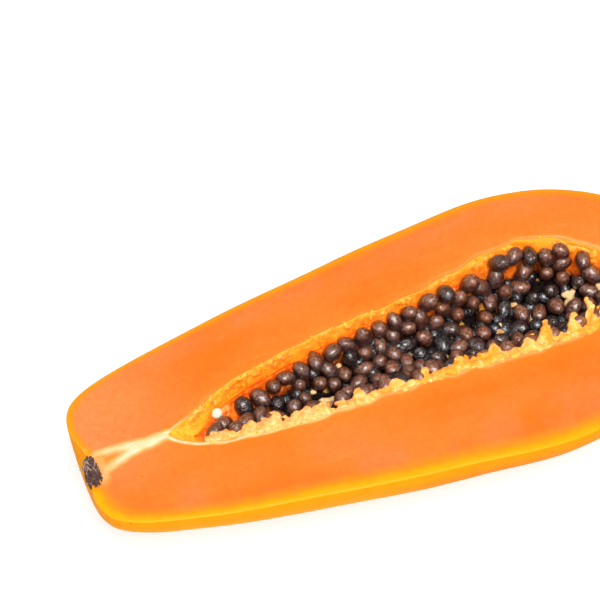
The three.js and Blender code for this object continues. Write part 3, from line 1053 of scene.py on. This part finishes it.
def seeds_piece(seeds, coat):
    points, faces = ball(SEED_BALL)
    random = np.random.RandomState(SEED_DRAWS["random"])
    parts, tones, ups, crowds = [], [], [], []
    for number, seed in enumerate(seeds):
        s, _, height = seed["at"]
        radius = SEED_SLIM * seed["radius"] * between(STEM_SIDE_SIZE, s, 1)
        long = seed["stretch"] * SEED_LONGER
        laid = seed_lump(points, long, SEED_NARROWER, radius, SEED_DRAWS, number) @ turned(seed["turn"])
        dark = random.rand() < between(DARK_CHANCE, -height, 1)
        tone = random.uniform(*(DARK_TONE if dark else BROWN_TONE)) * between(STEM_SIDE_TONE, s, 1)
        parts.append((laid + seed["at"], faces))
        tones.append(np.full(len(points), tone))
        # How far each point faces up, for the light and shade painted on the seeds.
        ups.append(laid[:, 2] / laid[:, 2].max())
        crowds.append(crowding(laid + seed["at"], seeds, number))
    return lumps("papaya_seeds", parts, coat, tone=tones, up=ups, crowd=crowds)


def deep_seeds_piece(seeds, coat):
    """Darker seeds that show in the gaps between the others, their near-black tone partly painted shade
    in the gaps.
    """
    points, faces = ball(DEEP_SEED_BALL)
    random = np.random.RandomState(DEEP_DRAWS["random"])
    parts, tones, crowds = [], [], []
    while len(parts) < DEEP_SEEDS["count"]:
        s = random.uniform(*DEEP_SEEDS["along"])
        if random.rand() > between(SEED_DENSITY, s, 1):
            continue
        phi = random.uniform(*DEEP_SEEDS["round"]) * math.pi
        lower = random.uniform(*DEEP_SEEDS["lower"]) * between(CAVITY, s, 3)
        place = layer_point(s, phi, -lower)["at"]
        radius = random.uniform(*DEEP_SEEDS["radius"])
        shaped = seed_lump(points, DEEP_SEEDS["long"], 1, radius, DEEP_DRAWS, len(parts))
        laid = shaped @ turned(random.uniform(0, FULL_TURN, 3)) + place
        parts.append((laid, faces))
        # Near-black tones: partly painted shade in the gaps.
        tones.append(np.full(len(points), random.uniform(*DEEP_SEEDS["tone"])))
        crowds.append(crowding(laid, seeds))
    ups = [np.zeros(len(points))] * len(parts)
    return lumps("papaya_deep_seeds", parts, coat, tone=tones, up=ups, crowd=crowds)


def seed_bed():
    """A thin bed along the wall, closed all round, under the seeds."""
    t = np.linspace(*BED_ENDS, BED_GRID[0])[:, None]
    side = np.linspace(0, 1, BED_GRID[1])[None, :]
    depth = np.maximum(BED_TOP + BED_LEAST, smooth(CAVITY, t, 3))
    first = np.arcsin(BED_TOP / depth)
    phi = first + (np.pi - 2 * first) * side
    top = trough_points(t, phi, BED_SHARE)
    bump = relief(top, **BED_RELIEF)
    top[..., 2] = np.minimum(top[..., 2], BED_EDGE - BED_TOP) + bump
    bottom = cavity_points(t, phi, BED_GAP)
    bottom[..., 2] = np.minimum(bottom[..., 2], top[..., 2] - BED_THICK)
    loops = np.concatenate([top, bottom[:, ::-1]], 1)
    poles = loops[[0, -1]].mean(1, keepdims=True).repeat(loops.shape[1], 1)
    loops = np.concatenate([poles[:1], loops, poles[1:]])
    points = []
    index = numbered(loops, points)
    index = np.concatenate([index, index[:, :1]], 1)
    layers = {"height": np.array(points)[:, 2]}
    return mesh_object("papaya_seed_bed", points, grid_faces(index), [bed_material()], None, layers)


# Crumbs of placenta

GRAIN_VOXEL = 0.4
SOFTENED = {"factor": 0.5, "iterations": 5}
LEAST_SPECK = 260  # points of a separate lump that stays
CRUMB_ROUGH = {"height": 0.42, "size": 2.2, "seed": 130}

# A crumb's tuft: rows of grains that reach inward and thin out
TUFT = {
    "rows": 3,
    "grains": 3,
    "near": 2.2,
    "far": 0.7,
    "uneven": [0.75, 1.25],
    "slant": 0.5,
    "thick": [1.0, 1.8],
    "far_thick": 0.6,
    "grain": [0.6, 1.0],
    "taper": 0.6,
    "thinner": 0.35,
    "sag": 0.3,
    "back": 0.3,
    "near_rise": 0.3,
    "far_drop": 0.5,
    "spread": [0.4, 0.45],
}
SPARSE_FROM = 148  # from here on the far wall is almost bare
SPARSE_SIZE = 0.55

# Tall tufts that lean over the seeds: foot along the near edge, tip along, tip across
TALL_TUFTS = [
    [57, 60, -5.5],
    [64, 64.6, -6.2],
    [66.5, 67.2, -4.9],
    [74.5, 75.6, -8.4],
    [77.5, 79, -7.2],
    [83, 84.5, -7.6],
    [97, 98.5, -7],
    [110, 112, -8.6],
    [122, 123.5, -7.8],
    [134, 136.6, -8.6],
    [147, 150.2, -7.6],
    [160, 164, -9],
    [168, 171.5, -5.3],
    [179, 182, -6.6],
    [187, 189, -3],
    [197, 197.5, -4.5],
]
TALL = {
    "steps": 9,
    "grains": 3,
    "thick": [2.3, 1.25],
    "depth": [1.5, 1.7],
    "arch": 0.6,
    "inside": 4.5,
    "spread": [0.6, 0.25, 0.2],
    "grain": [0.55, 0.85],
}
TUFT_BREADTH = np.array([[88, 1.35], [104, 1.1], [118, 1.1], [130, 1.35], [172, 1.3], [190, 1.1]])

# Grains along the near edge: how large, from where inward and how wide their band is, all by s
EDGE_GRAINS = {"count": 330, "along": [43, 207], "radius": [0.85, 1.7], "most": 0.28, "top": -0.75}
EDGE_GRAIN_SLOPE = 0.55
EDGE_GRAIN_UNEVEN = 0.3
EDGE_GRAIN_SIZE = np.array([[50, 1.25], [112, 1.05], [130, 1.25]])
EDGE_GRAIN_START = np.array([[90, 0.12], [125, -0.1]])
EDGE_BAND = np.array([[105, 2.9], [128, 3.8]])
BAND_WAVE = {"reach": 1.5, "along": 0.31, "swing": 1.5, "pace": 0.11}

# Grains that hang on the far wall
FAR_GRAINS = {
    "count": 900,
    "along": [38, 207],
    "radius": [0.5, 0.95],
    "slim": 0.8,
    "long": 1.9,
    "down": [0.05, 7.5],
    "most": 0.5,
    "falling_off": [1.1, 1.9],
    "kept": [0.22, 0.3, 0.31],
    "lean": [-0.5, 0.3, 0.4],
    "out": [0.1, 0.3, -0.7],
}

# Fleshy lobes on the far wall: middle along, half length, depth that they reach
FAR_LOBES = [[163, 4.5, 7.5], [171, 4, 6], [197, 5, 6.5]]
LOBE_GRAINS = {"count": 46, "radius": [1.2, 2.1], "top": 1.9}

STALKS = {
    "count": 46,
    "clear": 3.0,
    "along": [56, 200],
    "round": [0.3, 0.8],
    "lift": [-1.1, 0.9],
    "radius": [0.8, 1.25],
    "grains": 5,
    "step": [0.9, 0.9, 0.27],
    "sink": 0.25,
}


CRUMB_BALLS = {"seed": 21, "uneven": [0.75, 1.25]}
STALK_BALLS = {"seed": 23, "uneven": [0.8, 1.2]}
ANY_TURN = 6.3  # a little over a full turn


class Grains:
    """Small uneven balls, turned at random."""

    def __init__(self, seed, uneven):
        self.random = np.random.RandomState(seed)
        self.uneven = uneven
        self.points, self.faces = ball(1)
        self.parts = []

    def add(self, at, radius):
        shape = self.points * radius * self.random.uniform(*self.uneven, 3)
        turn = self.random.uniform(0, ANY_TURN, 3)
        self.parts.append((shape @ turned(turn) + at, self.faces))


def crumb_places():
    """The solids' crumbs: (middle, radius, direction into the hollow) for each."""
    random = seeded_random(CRUMB_DRAW)
    places = []
    for row in (NEAR_CRUMBS, FAR_CRUMBS):
        spacing = (CRUMB_END - CRUMB_START) / row["count"]
        for i in range(row["count"]):
            s = CRUMB_START + spacing * (i + CRUMB_JITTER * next(random))
            radius = drawn(random, row["radius"])
            reach = row["inward"] * radius * drawn(random, CRUMB_REACH)
            y = between(CAVITY, s, row["column"]) + reach
            z = -drawn(random, row["depth"])
            drawn_turn(random)
            places.append((np.array([s, y, z]), radius, row["inward"]))
    return places


def far_wall_point(s, down):
    """The point of the far wall that lies so far below the cut."""
    edge = smooth_between(s, 1)
    half = (edge - smooth_between(s, 2)) / 2
    inward = 1 - math.sqrt(max(0, 1 - (down / smooth_between(s, 3)) ** 2))
    return np.array([s, edge - inward * half, -down])


def crumbs_piece():
    """Grains heaped on each crumb and along both edges, grown together."""
    grains = Grains(**CRUMB_BALLS)
    for at, radius, inward in crumb_places():
        add_crumb(grains, at, radius, inward)
    for foot, tip, across in TALL_TUFTS:
        add_tall_tuft(grains, foot, tip, across)
    add_edge_grains(grains)
    add_far_grains(grains)
    for middle, half, deepest in FAR_LOBES:
        for _ in range(LOBE_GRAINS["count"]):
            s = middle + half * grains.random.uniform(-1, 1)
            down = grains.random.uniform(LOBE_GRAINS["top"], deepest)
            grains.add(far_wall_point(s, down), grains.random.uniform(*LOBE_GRAINS["radius"]))
    return grown_together("papaya_placenta_crumbs", grains.parts, placenta_material())


def add_crumb(grains, at, radius, inward):
    """A low tuft where a solid's crumb is."""
    random = grains.random
    near = inward > 0
    if not near and at[0] > SPARSE_FROM:
        radius = SPARSE_SIZE * radius
    reach = TUFT["near" if near else "far"] * radius * random.uniform(*TUFT["uneven"])
    slant = random.uniform(-TUFT["slant"], TUFT["slant"])
    rise = TUFT["near_rise"] if near else -TUFT["far_drop"]
    for step in np.linspace(0, 1, TUFT["rows"]):
        width = (1 - TUFT["taper"] * step) * radius
        thick = random.uniform(*TUFT["thick"]) * (1 - TUFT["thinner"] * step)
        thick *= 1 if near else TUFT["far_thick"]
        out = step * reach
        along = [slant * out, inward * (out - TUFT["back"]), rise - TUFT["sag"] * out]
        for _ in range(TUFT["grains"]):
            spread = random.uniform(-1, 1, 3) * [width, *TUFT["spread"]]
            grains.add(at + along + spread, thick * random.uniform(*TUFT["grain"]))


def add_tall_tuft(grains, foot, tip, across):
    """A tuft from the near edge to its tip over the seeds."""
    broader = between(TUFT_BREADTH, foot, 1) - 1
    start = np.array([foot, smooth_between(foot, 2) + TALL["inside"] * broader, -TALL["depth"][0]])
    end = np.array([tip, across, -TALL["depth"][1]])
    for step in np.linspace(0, 1, TALL["steps"]):
        thick = np.interp(step, [0, 1], TALL["thick"]) * (1 + broader * (1 - step))
        middle = start + (end - start) * step
        middle[2] += TALL["arch"] * math.sin(math.pi * step)
        for _ in range(TALL["grains"]):
            off = grains.random.uniform(-1, 1, 3) * thick * TALL["spread"]
            grains.add(middle + off, thick * grains.random.uniform(*TALL["grain"]))


def add_edge_grains(grains):
    """A band of grains along the near edge."""
    random = grains.random
    for _ in range(EDGE_GRAINS["count"]):
        s = random.uniform(*EDGE_GRAINS["along"])
        edge = smooth_between(s, 2)
        swing = BAND_WAVE["swing"] * math.sin(BAND_WAVE["pace"] * s)
        wave = BAND_WAVE["reach"] * math.sin(BAND_WAVE["along"] * s + swing)
        most = EDGE_GRAINS["most"] * (smooth_between(s, 1) - edge)
        band = min(most, between(EDGE_BAND, s, 1) + wave)
        inward = random.uniform(between(EDGE_GRAIN_START, s, 1), 1) * band
        height = EDGE_GRAINS["top"] - EDGE_GRAIN_SLOPE * max(0, inward)
        height += random.normal(0, EDGE_GRAIN_UNEVEN)
        radius = between(EDGE_GRAIN_SIZE, s, 1) * random.uniform(*EDGE_GRAINS["radius"])
        grains.add(np.array([s, edge + inward, height]), radius)


def add_far_grains(grains):
    """Long grains that hang on the far wall, few of them on the blossom side."""
    random = grains.random
    kept, swing, pace = FAR_GRAINS["kept"]
    lean, lean_spread, roll_spread = FAR_GRAINS["lean"]
    out, out_spread, sink = FAR_GRAINS["out"]
    for _ in range(FAR_GRAINS["count"]):
        s = random.uniform(*FAR_GRAINS["along"])
        if s > SPARSE_FROM and random.rand() > kept + swing * math.sin(pace * s):
            continue
        least, most = FAR_GRAINS["down"]
        most = min(FAR_GRAINS["most"] * smooth_between(s, 3), most)
        down = least + random.beta(*FAR_GRAINS["falling_off"]) * most
        shape = [FAR_GRAINS["slim"], FAR_GRAINS["slim"], FAR_GRAINS["long"]]
        hanging = grains.points * random.uniform(*FAR_GRAINS["radius"]) * shape
        hanging = hanging @ turned([random.normal(lean, lean_spread), random.normal(0, roll_spread), 0])
        place = far_wall_point(s, down) + [0, random.normal(out, out_spread), sink]
        grains.parts.append((hanging + place, grains.faces))


def stalks_piece(seeds):
    """Pale bits of placenta that show between the seeds."""
    grains = Grains(**STALK_BALLS)
    random = grains.random
    taken = np.array([seed["at"] for seed in seeds])
    while len(grains.parts) < STALKS["count"] * STALKS["grains"]:
        s = random.uniform(*STALKS["along"])
        phi = random.uniform(*STALKS["round"]) * math.pi
        at = layer_point(s, phi, random.uniform(*STALKS["lift"]))["at"]
        if np.linalg.norm(taken - at, axis=1).min() < STALKS["clear"]:
            continue
        lean = random.uniform(-1, 1, 3) * STALKS["step"] - [0, 0, STALKS["sink"]]
        for step in range(STALKS["grains"]):
            grains.add(at + lean * step, random.uniform(*STALKS["radius"]))
    return grown_together("papaya_seed_stalks", grains.parts, stalk_material())


def grown_together(name, parts, material):
    """One lumpy surface round all the grains."""
    piece = mesh_object(name, *joined(parts), [material])
    remesh = piece.modifiers.new("grown_together", "REMESH")
    remesh.mode = "VOXEL"
    remesh.voxel_size = GRAIN_VOXEL * MM
    remesh.use_smooth_shade = True
    softened = piece.modifiers.new("softened", "SMOOTH")
    softened.factor = SOFTENED["factor"]
    softened.iterations = SOFTENED["iterations"]
    graph = bpy.context.evaluated_depsgraph_get()
    mesh = bpy.data.meshes.new_from_object(piece.evaluated_get(graph))
    mesh.name = name
    piece.modifiers.clear()
    piece.data = mesh
    without_specks(mesh)
    roughened(mesh)
    return piece


def without_specks(mesh):
    """Takes away what the grains left as tiny separate lumps."""
    shape = bmesh.new()
    shape.from_mesh(mesh)
    unseen = set(shape.verts)
    specks = []
    while unseen:
        lump = [unseen.pop()]
        for vertex in lump:
            for edge in vertex.link_edges:
                other = edge.other_vert(vertex)
                if other in unseen:
                    unseen.discard(other)
                    lump.append(other)
        if len(lump) < LEAST_SPECK:
            specks.extend(lump)
    bmesh.ops.delete(shape, geom=specks, context="VERTS")
    shape.to_mesh(mesh)
    shape.free()


def roughened(mesh):
    """Moves each point in or out by noise, and keeps where it lies as values for the material."""
    at, normal = (np.zeros(len(mesh.vertices) * 3) for _ in range(2))
    mesh.vertices.foreach_get("co", at)
    mesh.vertices.foreach_get("normal", normal)
    at, normal = at.reshape(-1, 3) / MM, normal.reshape(-1, 3)
    hump = layered_noise(at, CRUMB_ROUGH["size"], CRUMB_ROUGH["seed"])
    at = at + normal * (CRUMB_ROUGH["height"] * hump)[:, None]
    mesh.vertices.foreach_set("co", (at * MM).reshape(-1))
    s, y, height = (at + [ORIGIN_S, ORIGIN_Y, -CUT_HEIGHT]).T
    layers = {"height": height, "hump": hump, "along": s, "far_side": y > middle_line(s)}
    finished_mesh(mesh, layers)


# The white seed and the stem scar

PALE_SEED_RELIEF = {"height": 0.04, "size": 0.8, "seed": 140, "layers": 2}
SCAR_BALL = 4
SCAR_DRAW = 31
SCAR_LUMP = {"height": 0.16, "size": 2.2, "seed": 150}
SCAR_SPAN = 5  # how much of the noise the lump spans
SCAR_TOP = -1.5
SCAR_TOP_RELIEF = {"height": 0.6, "size": 1.1, "seed": 151}
SCAR_SLIMMER = [1.9, 1.2, 1.4]
SCAR_SHIFT = -0.7
FIBRE_SIDES = 6
FIBRE_STEPS = 9
FIBRE_ASIDE = [0.3, 0.2, 0.93]  # no fibre runs this way
FIBRE_ENDS = [0.12, 0.95]  # how far round a half wave its thickness goes
FIBRES = {
    "count": 150,
    "along": 2.2,
    "across": 5.4,
    "shift": 0.1,
    "heading": [1.72, 0.5],
    "length": [2.0, 5.6],
    "bend": 2.7,
    "radius": [0.13, 0.3],
    "top": -1.1,
    "uneven": [-0.6, 0.8],
    "arch": 2.2,
    "lower_out": 0.5,
}
FIBRE_WANDER = {"height": 0.22, "size": 0.9}
# Grey fibres, more of them on the upper side: partly pale dry fibre, partly painted highlight
GREY_CHANCE = {"upper": 0.5, "lower": 0.16}
GREY_TONE = [0.5, 1]
UPPER_SIDE = {"along": 0.6, "across": 0.5}
DARK_FIBRE_TONE = 0.06


def pale_seed_piece():
    points, faces = ball(SEED_BALL)
    shaped = points * (1 + relief(points, **PALE_SEED_RELIEF))[:, None] * PALE_SEED["radii"]
    at = [PALE_SEED["s"], PALE_SEED["y"], PALE_SEED["z"]]
    laid = shaped @ turned(PALE_SEED["turn"]) + at
    return mesh_object("papaya_white_seed", laid, faces, [pale_seed_material()])


def fibre(path, radius):
    """A closed tapering tube along a path."""
    forward = np.gradient(path, axis=0)
    forward /= np.linalg.norm(forward, axis=1, keepdims=True)
    side = np.cross(forward, FIBRE_ASIDE)
    side /= np.linalg.norm(side, axis=1, keepdims=True)
    up = np.cross(side, forward)
    angle = np.linspace(0, 2 * np.pi, FIBRE_SIDES, endpoint=False)[None, :, None]
    thick = radius * np.sin(np.pi * np.linspace(*FIBRE_ENDS, len(path))) ** 0.5
    ring = np.cos(angle) * side[:, None] + np.sin(angle) * up[:, None]
    tube = path[:, None] + ring * thick[:, None, None]
    loops = np.concatenate([path[:1, None].repeat(FIBRE_SIDES, 1), tube,
                            path[-1:, None].repeat(FIBRE_SIDES, 1)])
    points = []
    index = numbered(loops, points)
    return np.array(points), grid_faces(np.concatenate([index, index[:, :1]], 1))


def fibre_path(random, at):
    """The path of one short dry fibre, curved and laid across the scar."""
    angle = random.uniform(0, 2 * np.pi)
    out = math.sqrt(random.rand())
    centre = at + [FIBRES["along"] * out * math.cos(angle) - FIBRES["shift"],
                   FIBRES["across"] * out * math.sin(angle), 0]
    heading = random.normal(*FIBRES["heading"])
    length = random.uniform(*FIBRES["length"])
    u = np.linspace(-0.5, 0.5, FIBRE_STEPS)
    bend = random.uniform(-1, 1) * FIBRES["bend"] * u ** 2
    x = centre[0] + length * u * math.cos(heading) - bend * math.sin(heading)
    y = centre[1] + length * u * math.sin(heading) + bend * math.cos(heading)
    z = FIBRES["top"] + random.uniform(*FIBRES["uneven"])
    z = z - FIBRES["arch"] * u ** 2 - FIBRES["lower_out"] * out
    path = np.stack([x, y, z], -1)
    wander = [plain_relief(path, seed=seed, **FIBRE_WANDER) for seed in (160, 161, 162)]
    return path + np.stack(wander, -1), centre - at


def stem_scar_piece():
    """A dry lump under a tangle of short fibres."""
    random = np.random.RandomState(SCAR_DRAW)
    points, faces = ball(SCAR_BALL)
    lump = points * (1 + relief(points * SCAR_SPAN, **SCAR_LUMP))[:, None]
    lump = lump * (np.array(SCAR["radii"]) - SCAR_SLIMMER)
    at = np.array([SCAR["s"] + SCAR_SHIFT, SCAR["y"], SCAR["z"]])
    lump = lump @ turned(SCAR["turn"]) + at
    lump[:, 2] = np.minimum(lump[:, 2], SCAR_TOP + relief(lump, **SCAR_TOP_RELIEF))
    parts, tones = [(lump, faces)], [np.zeros(len(lump))]
    for _ in range(FIBRES["count"]):
        path, off = fibre_path(random, at)
        parts.append(fibre(path, random.uniform(*FIBRES["radius"])))
        upper = off[0] < UPPER_SIDE["along"] and off[1] > UPPER_SIDE["across"]
        grey = random.rand() < GREY_CHANCE["upper" if upper else "lower"]
        tone = random.uniform(*GREY_TONE) if grey else DARK_FIBRE_TONE
        tones.append(np.full(len(parts[-1][0]), tone))
    return lumps("papaya_stem_scar", parts, scar_material(), tone=tones)


# Floor, light and camera

FLOOR_SIZE = 16
FLOOR_BASE = 0.52
FLOOR_GLOW = 0.62

# The sky's strength at the horizon and above, and between which heights it changes
HORIZON = 0.95
SKY = 0.15
SKY_HEIGHTS = [0.04, 0.22]

# Soft lamps, aimed at the fruit: name, place, size, power
LAMPS = [("key", (-0.06, -0.4, 0.98), 0.5, 14.7), ("fill", (-0.6, 0.5, 0.7), 0.8, 1.3)]


def floor_and_light():
    bpy.ops.mesh.primitive_plane_add(size=FLOOR_SIZE, location=(0, 0, 0))
    floor = bpy.context.active_object
    floor.name = "floor"
    material = Nodes("pale_floor").finished(
        Base_Color=(FLOOR_BASE, FLOOR_BASE, FLOOR_BASE, 1),
        Roughness=0.9,
        Specular_IOR_Level=0.1,
        Emission_Color=(1, 1, 1, 1),
        Emission_Strength=FLOOR_GLOW,
    )
    floor.data.materials.append(material)
    world = bpy.data.worlds.new("studio")
    bpy.context.scene.world = world
    world.use_nodes = True
    sky_from_horizon(world.node_tree)
    for name, place, size, power in LAMPS:
        soft_light(name, place, size, power)


def sky_from_horizon(tree):
    """A white horizon under a dim white sky, so that wet seeds reflect little but the lamps."""
    direction = tree.nodes.new("ShaderNodeTexCoord").outputs["Generated"]
    height = tree.nodes.new("ShaderNodeSeparateXYZ")
    tree.links.new(direction, height.inputs[0])
    fall = tree.nodes.new("ShaderNodeMapRange")
    fall.interpolation_type = "SMOOTHSTEP"
    tree.links.new(height.outputs["Z"], fall.inputs["Value"])
    limits = {"From Min": SKY_HEIGHTS[0], "From Max": SKY_HEIGHTS[1], "To Min": HORIZON, "To Max": SKY}
    for name, value in limits.items():
        fall.inputs[name].default_value = value
    sky = tree.nodes["Background"]
    sky.inputs["Color"].default_value = (1, 1, 1, 1)
    tree.links.new(fall.outputs["Result"], sky.inputs["Strength"])


def soft_light(name, place, size, power):
    light = bpy.data.lights.new(name, "AREA")
    light.size = size
    light.energy = power
    lamp = bpy.data.objects.new(name, light)
    lamp.location = place
    lamp.rotation_euler = (-Vector(place)).to_track_quat("-Z", "Y").to_euler()
    bpy.context.scene.collection.objects.link(lamp)


# The camera looks down on the cut, with the fruit's axis turned away to the right
FOCAL_PIXELS = 1900
PICTURE_PIXELS = 600
SCALE = 2.8  # pixels to a millimetre at the point looked at
ELEVATION = math.radians(56)
AXIS_TURN = math.radians(22)
LOOK_AT = [93.6, 34.4, 0]
SENSOR = 36
CLIP = [0.01, 20]


def camera():
    look = Vector((
        math.cos(ELEVATION) * math.sin(AXIS_TURN),
        math.cos(ELEVATION) * math.cos(AXIS_TURN),
        -math.sin(ELEVATION),
    ))
    lens = bpy.data.cameras.new("camera")
    lens.sensor_width = SENSOR
    lens.lens = FOCAL_PIXELS / PICTURE_PIXELS * SENSOR
    lens.clip_start, lens.clip_end = CLIP
    viewer = bpy.data.objects.new("camera", lens)
    distance = FOCAL_PIXELS / SCALE * MM
    viewer.location = Vector(in_frame(LOOK_AT)) - look * distance
    viewer.rotation_mode = "QUATERNION"
    viewer.rotation_quaternion = look.to_track_quat("-Z", "Y")
    bpy.context.scene.collection.objects.link(viewer)
    bpy.context.scene.camera = viewer


bpy.context.scene.view_settings.view_transform = "Standard"
camera()
floor_and_light()
layout = seed_layout()
coat = seed_material()
placed(fruit_half(layout), "flesh", "papaya_half")
placed(crumbs_piece(), "placenta")
placed(stalks_piece(layout), "placenta")
placed(seed_bed(), "placenta")
placed(seeds_piece(layout, coat), "seed_coat", "seeds")
placed(deep_seeds_piece(layout, coat), "seed_coat")
placed(pale_seed_piece(), "white_seed", "pale_seed")
placed(stem_scar_piece(), "dry_scar", "stem_scar")
